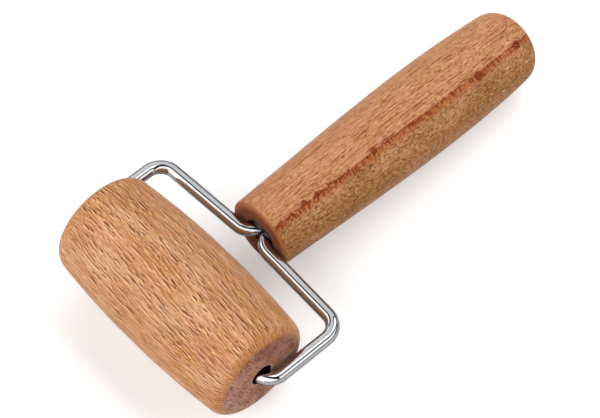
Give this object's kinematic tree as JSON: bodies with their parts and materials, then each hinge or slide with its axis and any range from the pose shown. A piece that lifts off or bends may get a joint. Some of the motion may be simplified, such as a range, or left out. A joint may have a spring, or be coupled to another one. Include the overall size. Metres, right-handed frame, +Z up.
{
  "type": "hand roller",
  "caption": "Wooden hand roller: a crowned beech roller that spins on a bent steel wire frame set in a turned beech handle.",
  "frame": {"origin": "bottom centre of the tool as it lies on a table, on the table's surface", "axes": "+X along the roller's axis, +Y from the roller towards the handle's butt, +Z up from the table"},
  "size_m": [0.0978, 0.1896, 0.045],
  "materials": {
    "roller_wood": "bare turned beech, fine sanded, faint sheen",
    "handle_wood": "bare turned beech, fine sanded, faint sheen",
    "polished_wire": "bright polished round wire",
    "set_glue": "set brown glue"
  },
  "bodies": {
    "frame_and_handle": {"wire_frame": "polished_wire", "handle": "handle_wood", "socket_glue": "set_glue"},
    "roller": {"roller": "roller_wood"}
  },
  "joints": [
    {"name": "roller_spin", "type": "hinge", "parent": "frame_and_handle", "child": "roller", "pos_m": [0, -0.07233, 0.0225], "axis": [1, 0, 0], "continuous": true}
  ]
}
